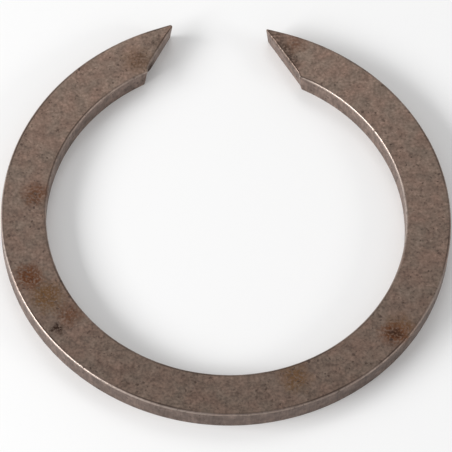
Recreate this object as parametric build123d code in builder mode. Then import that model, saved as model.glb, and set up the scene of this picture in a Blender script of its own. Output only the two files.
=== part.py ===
"""External snap ring: one flat, open ring of spring steel with pointed ends.

The ring lies on the XY plane, centred on the origin, with its gap towards +Y.
Its left arm is slightly sprung: it follows a larger arc, tangent to the rest of the ring on the X axis.
"""

from collections import namedtuple
from math import atan2, degrees, sqrt
import os

from build123d import *

# Driving dimensions, in millimetres and degrees.
outer_diameter = 50.0
radial_width = 5.0  # width of the flat section, between the outer and the inner edge
thickness = 2.5
tip_angle = 11.55  # from the gap's middle to each tip, as the ring was made
end_rake = 43.0  # between each end face and the radius through its tip
arm_set = 0.94  # how much larger the left arm's radius has grown

left_scallop_length = 1.9  # plier seat at the inner end of the left end face
left_scallop_depth = 0.22
left_nib_reach = 0.38  # how far the nib stands out from the line of the end face
right_scallop_length = 1.0
right_scallop_depth = 0.05
right_nib_reach = 0.16

tip_radius = 0.15  # plan rounding of the two points
nib_radius = 0.14
rolled_radius = 0.12  # edges round the upper face, rolled over by the blanking die
sheared_break = 0.05  # edges round the lower face, left nearly square

# Sizes that follow from them.
outer_radius = outer_diameter / 2
inner_radius = outer_radius - radial_width
mean_radius = outer_radius - radial_width / 2
ring_center = Vector(0, 0)
arm_center = Vector(arm_set, 0)
arm_angle = (90 - tip_angle) * mean_radius / (mean_radius + arm_set)  # same length, larger radius

EndFace = namedtuple("EndFace", "tip scallop_start scallop_middle nib")


def polar_angle(point, center):
    """Angle of a point about a centre, in degrees from the X axis."""
    return degrees(atan2(point.Y - center.Y, point.X - center.X))


def end_face(center, radius, angle, side, scallop_length, scallop_depth, nib_reach):
    """Corner points of one end face of an arm, with side 1 on the right and -1 on the left.

    The face runs straight from its tip, on the arm's outer edge, into a shallow scallop.
    The scallop ends in a nib on the arm's inner edge.
    """
    outward = Vector(1, 0).rotate(Axis.Z, angle)
    along_face = (outward * -1).rotate(Axis.Z, side * end_rake)
    into_gap = along_face.rotate(Axis.Z, -90 * side)
    tip = center + outward * radius

    # The nib lies where a line beside the face meets the arm's inner edge.
    beside_tip = outward * radius + into_gap * nib_reach
    half_way = -beside_tip.dot(along_face)
    beyond_edge = beside_tip.dot(beside_tip) - (radius - radial_width) ** 2
    face_length = half_way - sqrt(half_way**2 - beyond_edge)
    nib = center + beside_tip + along_face * face_length

    scallop_start = tip + along_face * (face_length - scallop_length)
    scallop_middle = (scallop_start + nib) * 0.5 - into_gap * scallop_depth
    return EndFace(tip, scallop_start, scallop_middle, nib)


right_end = end_face(
    ring_center,
    outer_radius,
    90 - tip_angle,
    1,
    right_scallop_length,
    right_scallop_depth,
    right_nib_reach,
)
left_end = end_face(
    arm_center,
    outer_radius + arm_set,
    180 - arm_angle,
    -1,
    left_scallop_length,
    left_scallop_depth,
    left_nib_reach,
)

with BuildPart() as snap_ring:
    with BuildSketch() as plan:
        with BuildLine() as outline:
            # Outer edge, clockwise from the right tip to the left tip.
            CenterArc(ring_center, outer_radius, 90 - tip_angle, -(270 - tip_angle))
            CenterArc(arm_center, outer_radius + arm_set, 180, -arm_angle)
            # Left end face.
            Line(left_end.tip, left_end.scallop_start)
            ThreePointArc(left_end.scallop_start, left_end.scallop_middle, left_end.nib)
            # Inner edge, counter-clockwise from the left nib to the right nib.
            left_nib_angle = polar_angle(left_end.nib, arm_center)
            right_nib_angle = polar_angle(right_end.nib, ring_center)
            CenterArc(arm_center, inner_radius + arm_set, left_nib_angle, 180 - left_nib_angle)
            CenterArc(ring_center, inner_radius, 180, 180 + right_nib_angle)
            # Right end face.
            ThreePointArc(right_end.nib, right_end.scallop_middle, right_end.scallop_start)
            Line(right_end.scallop_start, right_end.tip)
        make_face()
    extrude(amount=thickness)

    # Plan rounding of the tips and nibs.
    ends = (left_end, right_end)
    upright = snap_ring.edges().filter_by(Axis.Z)
    fillet([upright.sort_by_distance(end.tip)[0] for end in ends], tip_radius)
    upright = snap_ring.edges().filter_by(Axis.Z)
    fillet([upright.sort_by_distance(end.nib)[0] for end in ends], nib_radius)

    # Rolled edges round the upper face, and a small break round the lower one.
    fillet(snap_ring.faces().sort_by(Axis.Z)[-1].edges(), rolled_radius)
    chamfer(snap_ring.faces().sort_by(Axis.Z)[0].edges(), sheared_break)

snap_ring.part.label = "snap_ring"

os.makedirs("parts", exist_ok=True)
export_step(snap_ring.part, "parts/snap_ring.step")
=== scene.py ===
"""Studio picture of an external snap ring: one flat, open ring of dull spring steel."""

from collections import namedtuple
from functools import reduce
from math import cos, degrees, pi, radians, sin, sqrt, tan

import bpy
import numpy as np
from mathutils import Matrix, Vector, noise


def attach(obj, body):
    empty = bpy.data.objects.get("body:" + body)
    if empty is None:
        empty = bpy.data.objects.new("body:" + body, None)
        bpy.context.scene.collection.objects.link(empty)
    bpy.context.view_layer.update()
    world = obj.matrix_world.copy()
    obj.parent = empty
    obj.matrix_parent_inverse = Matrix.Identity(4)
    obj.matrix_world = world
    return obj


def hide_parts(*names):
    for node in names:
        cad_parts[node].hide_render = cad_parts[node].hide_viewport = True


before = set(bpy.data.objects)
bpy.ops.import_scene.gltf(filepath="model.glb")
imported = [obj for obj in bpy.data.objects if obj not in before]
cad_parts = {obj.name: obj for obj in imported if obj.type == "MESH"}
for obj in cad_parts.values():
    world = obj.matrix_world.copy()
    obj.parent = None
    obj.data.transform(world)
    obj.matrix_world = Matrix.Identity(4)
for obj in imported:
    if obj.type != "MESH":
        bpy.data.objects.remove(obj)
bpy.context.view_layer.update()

MM = 0.001

# The ring's plan, in millimetres and degrees, as in the part's source.
OUTER_RADIUS = 25.0
INNER_RADIUS = 20.0
THICKNESS = 2.5
TIP_ANGLE = 11.55  # from the gap's middle to each tip, as the ring was made
END_RAKE = 43.0  # between each end face and the radius through its tip
ARM_SET = 0.94  # how much larger the left arm's radius has grown

# The sheared ends lean: they stand further into the gap above than below.
Scallop = namedtuple("Scallop", "length depth nib_reach")
Ends = namedtuple("Ends", "advance left right roundings")
Roundings = namedtuple("Roundings", "left_tip right_tip right_nib left_nib")
UPPER_ENDS = Ends(
    0.15, Scallop(0.85, 0.06, 0.38), Scallop(0.7, 0.04, 0.20), Roundings(0.27, 0.15, 0.14, 0.14)
)
LOWER_ENDS = Ends(
    -0.12, Scallop(1.9, 0.30, 0.38), Scallop(1.0, 0.08, 0.16), Roundings(0.12, 0.12, 0.20, 0.32)
)

# Worn details of the surface, in millimetres.
ROLLED_EDGE = 0.26  # mean rounding of the upper edges
ROLLED_SPREAD = 0.02  # how much it varies along the ring
CORNER_ROLL = 0.45  # share of the rounding left at the tips and nibs
CORNER_REACH = 1.5  # how far from them it grows to the full rounding
NICK_DEPTH = 0.12  # bruises in the upper edges
NICK_THRESHOLD = 0.55  # of the noise above which there is one
SHEARED_EDGE = 0.06  # rounding of the lower edges
SHEARED_SPREAD = 0.3  # share by which it varies along the ring
WALL_STREAK = 0.014  # upright shear marks of the walls
FACE_WAVE = 0.006  # slow dips of the flat faces
FACE_DENT = 0.030  # small tumbling dents in them
DENT_THRESHOLD = 0.42

# Where the upper edges are rubbed bare, with a painted highlight that is brightest on the side facing
# the left lamp and round the nibs.
HIGHLIGHT_SIDE = 205.0  # direction that the edges with the strongest painted highlight face, roughly towards the left lamp, in degrees of the plan
LEAST_RUBBED_AND_LIT = 0.35  # share of their bareness and painted highlight that the other edges have
END_RUBBED_AND_LIT = 0.35  # and the ends' edges, away from the nibs
NIB_REACH = 1.0  # how far round the nibs the edges are bare, with a painted highlight, in millimetres
BARE_AND_HIGHLIGHT_STEEPNESS = 1.6  # how suddenly the bare part and painted highlight of a rolled edge end towards the flat face
CREASE_MEAN = 0.6  # mean depth of the painted shade in the crease beside the flat face

# Grid of the visual mesh.
ALONG = 840  # strips along the ring
ACROSS = 30  # strips across its width
TIPS = [0, ALONG]  # numbers of the tips' points in an outline, left and right
NIBS = [2 * ALONG + ACROSS, ALONG + ACROSS]  # and of the nibs' points
WALL_ROWS = 8
BREAK_ROWS = 3
ROLL_ROWS = 7
CREASE_ROWS = 3  # of them, the ones that carry the painted shade of the crease beside the flat face
FINEST_STEP = 0.2  # of a plain strip, beside a corner
ALONG_RAMP = 24  # strips over which the steps grow from a corner
ACROSS_RAMP = 6
BEND_STRIPS = 40  # strips over which the end faces' shape fades into the band
ARC_STEPS = 20  # points in a degree of arc
CORNER_STEPS = 40
FACE_STEPS = 60

# What the material is told about each point, and what that is on the lower edges and the walls.
MARKS = ("edge", "wall", "painted_crease_shade")
BREAK_MARKS = (0.4, 0.5, 0.0)
WALL_MARKS = (0.0, 1.0, 0.0)

# Colours, as linear reflectances.
TARNISH = (0.236, 0.157, 0.122, 1)
TARNISH_GREY = (0.220, 0.163, 0.129, 1)
WALL_STEEL = (0.245, 0.180, 0.151, 1)
# Light colour of bare steel, also used as the painted highlight on the edges.
BARE_STEEL_AND_HIGHLIGHT = (0.56, 0.47, 0.42, 1)
DARK_FLECK = (0.058, 0.037, 0.029, 1)
RUST = (0.138, 0.052, 0.021, 1)
OCHRE = (0.165, 0.088, 0.040, 1)
# Dark colour of soot, also used as painted shade on the wall of the left end's hollow.
SOOT_AND_SHADE = (0.042, 0.022, 0.014, 1)
FLOOR_WHITE = (0.88, 0.88, 0.88, 1)
SKY_WHITE = (1, 1, 1, 1)

# Finish of the steel.
METALLIC = 0.75
EDGE_BARENESS_AND_HIGHLIGHT = 0.8  # share of bare steel and painted highlight where an edge is brightest
EDGE_POLISH = 0.24  # how much less rough it is there
CREASE_SHADE_DARKNESS = 0.8
FLECK_DARKNESS = 0.9
STAIN_ROUGHNESS = 0.25  # how much rougher the stains are
RELIEF_DEPTH = 0.02  # of the finest relief, in millimetres

# Stains, and painted shade on the wall of the left end's hollow: place and reach in millimetres, and
# depth of colour.
Stain = namedtuple("Stain", "center reach depth")
STAINS_AND_SHADE = {
    OCHRE: (
        Stain((-19.8, -10.4, THICKNESS), 2.5, 1.00),
        Stain((7.1, -20.4, THICKNESS), 2.2, 0.80),
        Stain((-9.7, 20.2, THICKNESS), 2.2, 0.50),
        Stain((18.8, -14.2, THICKNESS), 2.2, 0.65),
    ),
    RUST: (
        Stain((-21.1, 2.5, THICKNESS), 2.0, 0.70),
        Stain((-21.8, -7.9, THICKNESS), 2.1, 1.00),
        Stain((-17.4, -12.6, THICKNESS), 1.9, 0.65),
        Stain((18.1, -15.0, THICKNESS), 1.9, 1.00),
        Stain((8.2, 22.3, THICKNESS), 1.6, 0.50),
    ),
    SOOT_AND_SHADE: (
        Stain((-18.7, -14.4, THICKNESS), 0.9, 1.00),
        Stain((18.2, -14.9, THICKNESS), 0.8, 0.70),
        Stain((6.0, 23.6, THICKNESS), 1.0, 0.60),
        Stain((6.5, 22.7, THICKNESS), 1.0, 0.60),
        Stain((7.0, 21.8, THICKNESS), 1.0, 0.65),
        Stain((7.5, 20.9, THICKNESS), 1.0, 0.65),
        Stain((8.0, 20.1, THICKNESS), 1.0, 0.65),
        Stain((-9.3, 20.4, THICKNESS), 1.5, 0.40),
        Stain((-7.6, 22.6, THICKNESS), 1.3, 0.35),
        # Painted shade on the wall of the left end's hollow, darkest low down.
        Stain((-8.6, 19.3, 1.2), 1.3, 0.80),
        Stain((-8.2, 20.3, 0.6), 1.5, 0.85),
    ),
}

# Lamps round the ring, in degrees, metres and watts; azimuth 0 is the front and -90 the left.
Lamp = namedtuple("Lamp", "name azimuth elevation distance width height power")
LAMPS = (
    Lamp("left", -75, 26, 0.6, 0.50, 0.20, 3.9),
    Lamp("right", 72, 22, 0.6, 0.20, 0.12, 0.55),
    Lamp("behind", 180, 48, 0.4, 0.16, 0.16, 0.20),
)
SKY_STRENGTH = 0.51
FLOOR_REACH = 2.0  # from the ring's middle to the floor's sides, in metres

# The camera: its angles, its place in the turned view in millimetres, and its lens.
CAMERA_AZIMUTH = -4.4
CAMERA_ELEVATION = 60.1
CAMERA_ROLL = 3.9
CAMERA_PLACE = (0.04, -0.03, 446.1)
CAMERA_LENS = 318.6


def unit(angle):
    """Unit vector of the plan, as a complex number, at an angle in degrees."""
    return complex(cos(radians(angle)), sin(radians(angle)))


def arc(center, radius, start, end):
    """Closely spaced points of an arc of the plan."""
    angles = np.radians(np.linspace(start, end, int(abs(end - start) * ARC_STEPS)))
    return center + radius * np.exp(1j * angles)


def end_face(center, radius, angle, side, scallop):
    """Points of an arm's end face from tip to nib, side 1 being the right arm and -1 the left."""
    outward = unit(angle)
    along_face = -outward * unit(side * END_RAKE)
    into_gap = along_face * unit(-90 * side)
    tip = outward * radius
    beside_tip = tip + into_gap * scallop.nib_reach
    half_way = -(beside_tip * along_face.conjugate()).real
    beyond_edge = abs(beside_tip) ** 2 - (radius - OUTER_RADIUS + INNER_RADIUS) ** 2
    face_length = half_way - sqrt(half_way**2 - beyond_edge)
    nib = beside_tip + along_face * face_length
    scallop_start = tip + along_face * (face_length - scallop.length)
    share = np.linspace(0, 1, FACE_STEPS)
    straight = tip + (scallop_start - tip) * share
    hollow = scallop_start + (nib - scallop_start) * share
    hollow -= into_gap * scallop.depth * 4 * share * (1 - share)
    return center + np.concatenate((straight, hollow[1:]))


def corner(incoming, outgoing, radius):
    """Points that round the corner between two curves, and how far they reach along each."""
    point = outgoing[0]
    back = incoming[-2] - point
    ahead = outgoing[1] - point
    back /= abs(back)
    ahead /= abs(ahead)
    half_angle = np.arccos((back * ahead.conjugate()).real) / 2
    reach = radius / tan(half_angle)
    middle = (back + ahead) / abs(back + ahead) * radius / sin(half_angle)
    start = back * reach - middle
    turn = np.angle((ahead * reach - middle) / start)
    swing = np.exp(1j * turn * np.linspace(0, 1, CORNER_STEPS + 1))
    return point + middle + start * swing, reach


def graded(count, ramp):
    """Shares from 0 to 1 whose steps shrink towards both ends."""
    place = np.arange(count)
    from_end = np.minimum(place, count - 1 - place)
    steps = FINEST_STEP + (1 - FINEST_STEP) * np.minimum(1, from_end / ramp)
    return np.concatenate(([0], np.cumsum(steps))) / steps.sum()


def resampled(points, shares):
    """Points at the given shares of a curve's length."""
    lengths = np.concatenate(([0], np.cumsum(np.abs(np.diff(points)))))
    wanted = shares * lengths[-1]
    return np.interp(wanted, lengths, points.real) + 1j * np.interp(wanted, lengths, points.imag)


def sharp_sides(ends):
    """Outer edge, right end, inner edge and left end of the plan, anticlockwise, with sharp corners."""
    tip_angle = TIP_ANGLE - degrees(ends.advance / cos(radians(END_RAKE)) / OUTER_RADIUS)
    mean_radius = (OUTER_RADIUS + INNER_RADIUS) / 2
    arm_angle = (90 - tip_angle) * mean_radius / (mean_radius + ARM_SET)
    arm_radius = OUTER_RADIUS + ARM_SET
    left = end_face(ARM_SET, arm_radius, 180 - arm_angle, -1, ends.left)
    right = end_face(0, OUTER_RADIUS, 90 - tip_angle, 1, ends.right)
    left_nib = degrees(np.angle(left[-1] - ARM_SET))
    right_nib = 360 + degrees(np.angle(right[-1]))
    outer_arm = arc(ARM_SET, arm_radius, 180 - arm_angle, 180)
    outer_rest = arc(0, OUTER_RADIUS, 180, 450 - tip_angle)
    inner_rest = arc(0, INNER_RADIUS, right_nib, 180)
    inner_arm = arc(ARM_SET, INNER_RADIUS + ARM_SET, 180, left_nib)
    outer = np.concatenate((outer_arm, outer_rest[1:]))
    inner = np.concatenate((inner_rest, inner_arm[1:]))
    return outer, right, inner, left[::-1]


def plan_outline(ends):
    """The plan's closed outline with rounded corners, evenly strewn with the grid's points."""
    sides = sharp_sides(ends)
    corners = [corner(sides[k - 1], sides[k], ends.roundings[k]) for k in range(4)]
    shares = [graded(ALONG, ALONG_RAMP), graded(ACROSS, ACROSS_RAMP)] * 2
    half = CORNER_STEPS // 2
    loop = []
    for k, side in enumerate(sides):
        first, first_reach = corners[k]
        last, last_reach = corners[(k + 1) % 4]
        clear_of_first = np.abs(side - side[0]) > first_reach
        clear_of_last = np.abs(side - side[-1]) > last_reach
        plain = side[clear_of_first & clear_of_last]
        whole = np.concatenate((first[half:], plain, last[: half + 1]))
        loop.append(resampled(whole, shares[k])[:-1])
    return np.concatenate(loop)


def rough(points, grain, layer):
    """Smooth noise from -1 to 1 at plan points, with a grain in millimetres."""
    return np.array([noise.noise(Vector((p.real / grain, p.imag / grain, layer))) for p in points])


def clearance(outline, numbers):
    """Distance from each point of an outline to the nearest of some numbered ones."""
    return np.abs(outline[:, None] - outline[numbers]).min(1)


def edge_roll(outline):
    """Rounding of the upper edge at each point: less at the corners, more where it is bruised."""
    rolled = ROLLED_EDGE + ROLLED_SPREAD * rough(outline, grain=3.0, layer=1.5)
    rolled += NICK_DEPTH * np.maximum(0, rough(outline, grain=0.9, layer=4.5) - NICK_THRESHOLD)
    grown = np.minimum(1, clearance(outline, TIPS + NIBS) / CORNER_REACH)
    return rolled * (CORNER_ROLL + (1 - CORNER_ROLL) * grown)


def edge_bareness_and_highlight(outline, inward):
    """How bare the upper edge is rubbed at each point, with a painted highlight that is strongest on
    the side facing the left lamp and round the nibs, and weaker on the ends.
    """
    # Painted highlight: the edges facing the left lamp get the most bare steel colour.
    facing = np.maximum(0, -(inward * unit(-HIGHLIGHT_SIDE)).real)
    rubbed = LEAST_RUBBED_AND_LIT + (1 - LEAST_RUBBED_AND_LIT) * facing**2
    left_nib, right_nib = NIBS
    rubbed[ALONG:right_nib] = END_RUBBED_AND_LIT
    rubbed[left_nib:] = END_RUBBED_AND_LIT
    # Painted highlight round the nibs.
    return np.maximum(rubbed, 1 - clearance(outline, NIBS) / NIB_REACH)


def wall_rows(outline, inward):
    """Inset, height and marks of each loop of the walls, from the lower face up."""
    rolled = edge_roll(outline)
    bare_and_lit = edge_bareness_and_highlight(outline, inward)
    # Painted shade of the crease beside the flat face, deeper in some places than others.
    painted_crease_shade = np.clip(CREASE_MEAN + rough(outline, grain=5.0, layer=7.5), 0, 1)
    broken = SHEARED_EDGE * (1 + SHEARED_SPREAD * rough(outline, grain=2.0, layer=9.5))
    streak = WALL_STREAK * (0.5 + 0.5 * rough(outline, grain=0.35, layer=2.5))
    rows = []
    for row in range(BREAK_ROWS):
        turn = pi / 2 * row / BREAK_ROWS
        rows.append((broken * (1 - sin(turn)), broken * (1 - cos(turn)), BREAK_MARKS))
    for row in range(WALL_ROWS + 1):
        share = row / WALL_ROWS
        height = broken + (THICKNESS - rolled - broken) * share
        rows.append((streak * sin(pi * share), height, WALL_MARKS))
    for row in range(1, ROLL_ROWS + 1):
        turn = pi / 2 * row / ROLL_ROWS
        height = THICKNESS - rolled * (1 - sin(turn))
        edge = bare_and_lit * min(1, BARE_AND_HIGHLIGHT_STEEPNESS * (1 - row / ROLL_ROWS))
        creased = painted_crease_shade if row > ROLL_ROWS - CREASE_ROWS else 0.0
        rows.append((rolled * (1 - cos(turn)), height, (edge, 0.0, creased)))
    return rows


def flat_net(loop, first, total):
    """Vertex numbers of the net over a flat face, and the plan points inside its border loop."""
    count = len(loop)
    along = np.arange(ALONG + 1)
    across = np.arange(ACROSS + 1)
    net = np.zeros((ALONG + 1, ACROSS + 1), int)
    net[:, 0] = along
    net[ALONG, :] = ALONG + across
    net[:, ACROSS] = 2 * ALONG + ACROSS - along
    net[0, :] = (count - across) % count
    border = loop[net]
    ruled = border[:, :1] + (border[:, -1:] - border[:, :1]) * graded(ACROSS, ACROSS_RAMP)
    fade = np.maximum(0, 1 - along[:, None] / BEND_STRIPS) ** 2
    bent = ruled + (border[0] - ruled[0]) * fade + (border[-1] - ruled[-1]) * fade[::-1]
    inside = bent[1:-1, 1:-1]
    net += first
    net[1:-1, 1:-1] = total + np.arange(inside.size).reshape(inside.shape)
    return net, inside.ravel()


def face_dips(inside, way):
    """Depth of the dips and dents inside a flat face, way being 1 for the upper face and -1 below."""
    waves = 0.5 + 0.5 * rough(inside, grain=2.6, layer=way + 0.5)
    dents = np.maximum(0, rough(inside, grain=0.55, layer=way + 3.5) - DENT_THRESHOLD)
    return FACE_WAVE * waves + FACE_DENT * dents


def ring_mesh():
    """Vertices, faces and marks of the ring."""
    upper = plan_outline(UPPER_ENDS)
    lower = plan_outline(LOWER_ENDS)
    middle = (upper + lower) / 2
    tangent = np.roll(middle, -1) - np.roll(middle, 1)
    inward = 1j * tangent / np.abs(tangent)
    count = len(middle)
    around = np.arange(count)
    onward = np.roll(around, -1)

    vertices = []
    marks = []
    faces = []
    rows = wall_rows(middle, inward)
    for row, (inset, height, row_marks) in enumerate(rows):
        plan = lower + (upper - lower) * height / THICKNESS + inward * inset
        vertices.append(np.stack((plan.real, plan.imag, height), 1))
        marks.append(np.stack([np.broadcast_to(mark, count) for mark in row_marks], 1))
        low = row * count
        if row < len(rows) - 1:
            high = low + count
            faces.append(np.stack((low + around, low + onward, high + onward, high + around), 1))

    total = len(rows) * count
    for level, way in ((0, -1), (len(rows) - 1, 1)):
        rim = vertices[level]
        net, inside = flat_net(rim[:, 0] + 1j * rim[:, 1], level * count, total)
        height = rim[0, 2] - way * face_dips(inside, way)
        vertices.append(np.stack((inside.real, inside.imag, height), 1))
        marks.append(np.zeros((len(inside), len(MARKS))))
        total += len(inside)
        quads = np.stack((net[:-1, :-1], net[1:, :-1], net[1:, 1:], net[:-1, 1:]), 2).reshape(-1, 4)
        faces.append(quads[:, ::way])
    return np.concatenate(vertices) * MM, np.concatenate(faces), np.concatenate(marks)


def make_ring():
    """The ring's visual mesh, with its marks kept as attributes."""
    vertices, faces, marks = ring_mesh()
    mesh = bpy.data.meshes.new("snap_ring_worn")
    mesh.from_pydata(vertices.tolist(), [], faces.tolist())
    for column, name in enumerate(MARKS):
        mesh.attributes.new(name, "FLOAT", "POINT").data.foreach_set("value", marks[:, column].copy())
    mesh.polygons.foreach_set("use_smooth", [True] * len(mesh.polygons))
    mesh.update()
    ring = bpy.data.objects.new("snap_ring_worn", mesh)
    bpy.context.scene.collection.objects.link(ring)
    ring.data.materials.append(steel_material())
    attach(ring, "root")
    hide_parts("snap_ring")


class Nodes:
    """A material's node tree, with short ways to add nodes to it."""

    def __init__(self, name):
        self.material = bpy.data.materials.new(name)
        self.material.use_nodes = True
        self.tree = self.material.node_tree
        self.shader = self.tree.nodes["Principled BSDF"].inputs

    def fill(self, sockets, inputs):
        """Gives each named socket a link or a constant."""
        for key, value in inputs.items():
            if isinstance(value, bpy.types.NodeSocket):
                self.tree.links.new(value, sockets[key])
            else:
                sockets[key].default_value = value

    def add(self, kind, inputs, output=0, **settings):
        """Adds a node, fills its inputs and returns one of its outputs."""
        made = self.tree.nodes.new("ShaderNode" + kind)
        for name, value in settings.items():
            setattr(made, name, value)
        self.fill(made.inputs, inputs)
        return made.outputs[output]

    def noise(self, place, scale, detail):
        """Noise of a scale in grains to the millimetre."""
        return self.add("TexNoise", {"Vector": place, "Scale": scale, "Detail": detail})

    def mark(self, name):
        """One of the marks that the mesh carries."""
        return self.add("Attribute", {}, "Fac", attribute_name=name)

    def spread(self, value, low, high, start=0.0, end=1.0):
        """A value's range from low to high, spread out from start to end."""
        limits = {"From Min": low, "From Max": high, "To Min": start, "To Max": end}
        return self.add("MapRange", {"Value": value, **limits})

    def mix(self, share, first, second):
        """A colour between two others."""
        return self.add("Mix", {0: share, 6: first, 7: second}, 2, data_type="RGBA")

    def math(self, operation, first, second):
        """A sum of two values."""
        return self.add("Math", {0: first, 1: second}, operation=operation)

    def product(self, *values):
        """The product of some values."""
        return reduce(lambda first, second: self.math("MULTIPLY", first, second), values)

    def vector(self, operation, first, second):
        """A sum of two vectors."""
        return self.add("VectorMath", {0: first, 1: second}, operation=operation)

    def scaled(self, vector, factor):
        """A vector or colour times a value."""
        return self.add("VectorMath", {0: vector, "Scale": factor}, operation="SCALE")


def push(nodes, place, scale, detail, reach):
    """A small crooked step from each point, which makes the outlines of what follows it ragged."""
    step = nodes.add("TexNoise", {"Vector": place, "Scale": scale, "Detail": detail}, "Color")
    return nodes.scaled(nodes.vector("SUBTRACT", step, (0.5, 0.5, 0.5)), reach)


def front_to_back(nodes, place, front, back):
    """A value that changes evenly from the front of the ring to its back, for painted shade at the
    front.
    """
    depth = nodes.add("SeparateXYZ", {"Vector": place}, "Y")
    return nodes.spread(depth, -OUTER_RADIUS, OUTER_RADIUS, front, back)


def face_steel(nodes, place):
    """Colour of the flat faces: tarnish in two tints, cloudy and grainy, with painted shade that
    darkens them towards the front.
    """
    patches = nodes.spread(nodes.noise(place, 0.45, 3.0), 0.35, 0.65)
    tint = nodes.mix(patches, TARNISH, TARNISH_GREY)
    clouds = nodes.spread(nodes.noise(place, 1.1, 6.0), 0.3, 0.7, 0.78, 1.20)
    grain = nodes.spread(nodes.noise(place, 3.2, 5.0), 0.28, 0.72, 0.66, 1.32)
    # Painted shade: the faces get darker towards the front.
    painted_front_shade = front_to_back(nodes, place, 0.72, 1.00)
    return nodes.scaled(tint, nodes.product(clouds, grain, painted_front_shade))


def wall_steel(nodes, place):
    """Colour of the sheared walls: upright streaks and blotches, with painted shade that darkens them
    towards the front and painted light towards the back.
    """
    upright = nodes.vector("MULTIPLY", place, (1.0, 1.0, 0.15))
    shear = nodes.spread(nodes.noise(upright, 5.0, 4.0), 0.3, 0.7, 0.80, 1.20)
    blotches = nodes.spread(nodes.noise(place, 0.9, 5.0), 0.3, 0.7, 0.70, 1.24)
    # Painted shade towards the front of the walls and painted light towards their back.
    painted_front_shade = front_to_back(nodes, place, 0.78, 1.10)
    return nodes.scaled(WALL_STEEL[:3], nodes.product(shear, blotches, painted_front_shade))


def stain_cover(nodes, place, stains):
    """How deep each point lies in the nearest of some stains."""
    cover = 0.0
    for stain in stains:
        ends = {0: place, 1: stain.center}
        far = nodes.add("VectorMath", ends, "Value", operation="DISTANCE")
        depth = nodes.spread(far, stain.reach, 0.3 * stain.reach, 0.0, stain.depth)
        cover = nodes.math("MAXIMUM", depth, cover)
    return cover


def stained(nodes, place, crooked, color):
    """A colour with the stains and the painted shade of the left end's hollow over it, and how stained
    each point is.
    """
    broken_up = nodes.spread(nodes.noise(place, 3.6, 6.0), 0.36, 0.56, 0.15, 1.1)
    ragged = nodes.vector("ADD", crooked, push(nodes, place, 0.9, 2.0, 1.6))
    stain = 0.0
    for stain_color, stains in STAINS_AND_SHADE.items():
        cover = nodes.product(stain_cover(nodes, ragged, stains), broken_up)
        color = nodes.mix(cover, color, stain_color)
        stain = nodes.math("MAXIMUM", cover, stain)
    return color, stain


def flecks(nodes, place, size, share):
    """Dark specks of a size in millimetres, in a share of the cells round them."""
    cells = {"Vector": place, "Scale": 0.22 / size}
    near = nodes.spread(nodes.add("TexVoronoi", cells, "Distance"), 0.23, 0.13)
    chosen = nodes.spread(nodes.add("TexVoronoi", cells, "Color"), 1 - share, 1.1 - share)
    return nodes.product(near, chosen)


def speckled(nodes, place, crooked, color):
    """A colour with dark mottling and specks over it, and how deep in a speck each point is."""
    thick = nodes.spread(nodes.noise(place, 0.35, 2.0), 0.35, 0.65, 0.4, 1.0)
    mottle = nodes.spread(nodes.noise(place, 2.0, 5.0), 0.50, 0.66, 0.0, 0.40)
    color = nodes.mix(nodes.product(mottle, thick), color, DARK_FLECK)
    large = flecks(nodes, crooked, 0.20, 0.5)
    small = flecks(nodes, crooked, 0.12, 0.6)
    specks = nodes.product(nodes.math("MAXIMUM", large, small), thick)
    return nodes.mix(nodes.product(specks, FLECK_DARKNESS), color, DARK_FLECK), specks


def roughness(nodes, place, edge, stain):
    """Uneven roughness of the tarnish, less on rubbed edges and more on the stains."""
    uneven = nodes.spread(nodes.noise(place, 2.2, 4.0), 0.3, 0.7, 0.44, 0.58)
    rubbed = nodes.math("SUBTRACT", uneven, nodes.product(edge, EDGE_POLISH))
    return nodes.math("ADD", rubbed, nodes.product(stain, STAIN_ROUGHNESS))


def relief(nodes, place, edge, specks):
    """Normals of the finest relief, pitted at the specks and fainter on rubbed edges."""
    height = nodes.math("SUBTRACT", nodes.noise(place, 6.0, 4.0), specks)
    strength = nodes.spread(edge, 0.0, 1.0, 0.4, 0.05)
    bump = {"Height": height, "Strength": strength, "Distance": RELIEF_DEPTH * MM}
    return nodes.add("Bump", bump, "Normal")


def steel_material():
    """Dull tarnished spring steel with specks, stains, rubbed edges and sheared walls, and painted
    light: a highlight on the edges, and shade in the crease beside the flat faces, towards the front
    and in the left end's hollow.
    """
    nodes = Nodes("spring_steel_worn")
    place = nodes.scaled(nodes.add("TexCoord", {}, "Object"), 1 / MM)
    edge, wall, painted_crease_shade = [nodes.mark(name) for name in MARKS]
    crooked = nodes.vector("ADD", place, push(nodes, place, 2.5, 3.0, 0.6))

    color = nodes.mix(wall, face_steel(nodes, place), wall_steel(nodes, place))
    # Bare steel and a painted highlight on the upper edges.
    color = nodes.mix(nodes.product(edge, EDGE_BARENESS_AND_HIGHLIGHT), color, BARE_STEEL_AND_HIGHLIGHT)
    # Painted shade in the crease between each rolled edge and the flat face.
    color = nodes.mix(nodes.product(painted_crease_shade, CREASE_SHADE_DARKNESS), color, DARK_FLECK)
    color, stain = stained(nodes, place, crooked, color)
    color, specks = speckled(nodes, place, crooked, color)

    surface = {
        "Base Color": color,
        "Metallic": METALLIC,
        "Roughness": roughness(nodes, place, edge, stain),
        "Normal": relief(nodes, place, edge, specks),
    }
    nodes.fill(nodes.shader, surface)
    return nodes.material


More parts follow.
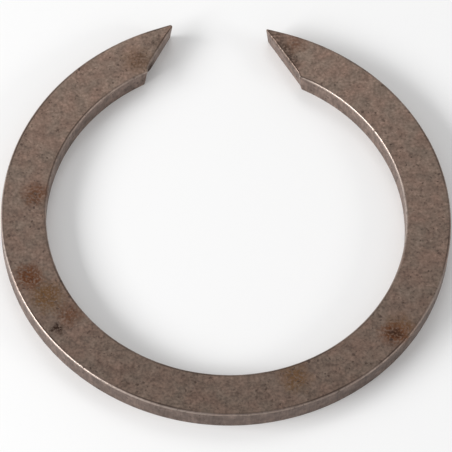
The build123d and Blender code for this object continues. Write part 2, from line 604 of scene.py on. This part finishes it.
def make_floor():
    """A wide pale floor under the ring."""
    left, right = -FLOOR_REACH, FLOOR_REACH
    corners = [(left, left, 0), (right, left, 0), (right, right, 0), (left, right, 0)]
    mesh = bpy.data.meshes.new("floor")
    mesh.from_pydata(corners, [], [(0, 1, 2, 3)])
    floor = bpy.data.objects.new("floor", mesh)
    bpy.context.scene.collection.objects.link(floor)
    nodes = Nodes("floor")
    surface = {"Base Color": FLOOR_WHITE, "Roughness": 0.9, "Specular IOR Level": 0.1}
    nodes.fill(nodes.shader, surface)
    mesh.materials.append(nodes.material)


def turned(azimuth, elevation, roll=0.0):
    """Rotation of a camera or lamp that looks at the ring from an azimuth and an elevation."""
    turn = Matrix.Rotation(radians(azimuth), 4, "Z")
    tilt = Matrix.Rotation(radians(90 - elevation), 4, "X")
    return turn @ tilt @ Matrix.Rotation(radians(roll), 4, "Z")


def make_lamp(lamp):
    """An area lamp that faces the ring."""
    light = bpy.data.lights.new(lamp.name, "AREA")
    light.shape = "RECTANGLE"
    light.size = lamp.width
    light.size_y = lamp.height
    light.energy = lamp.power
    holder = bpy.data.objects.new(lamp.name, light)
    back_off = Matrix.Translation((0, 0, lamp.distance))
    holder.matrix_world = turned(lamp.azimuth, lamp.elevation) @ back_off
    bpy.context.scene.collection.objects.link(holder)


def make_light():
    """Soft studio light: a wide lamp on the left, weaker ones right and behind, and a pale sky."""
    for lamp in LAMPS:
        make_lamp(lamp)
    world = bpy.data.worlds.new("sky")
    world.use_nodes = True
    sky = world.node_tree.nodes["Background"].inputs
    sky["Color"].default_value = SKY_WHITE
    sky["Strength"].default_value = SKY_STRENGTH
    bpy.context.scene.world = world


def make_camera():
    """A long lens, high in front of the ring and slightly rolled."""
    lens = bpy.data.cameras.new("camera")
    lens.lens = CAMERA_LENS
    camera = bpy.data.objects.new("camera", lens)
    view = turned(CAMERA_AZIMUTH, CAMERA_ELEVATION, CAMERA_ROLL)
    camera.matrix_world = view @ Matrix.Translation(Vector(CAMERA_PLACE) * MM)
    bpy.context.scene.collection.objects.link(camera)
    bpy.context.scene.camera = camera


make_ring()
make_floor()
make_light()
make_camera()
bpy.context.scene.view_settings.view_transform = "Standard"
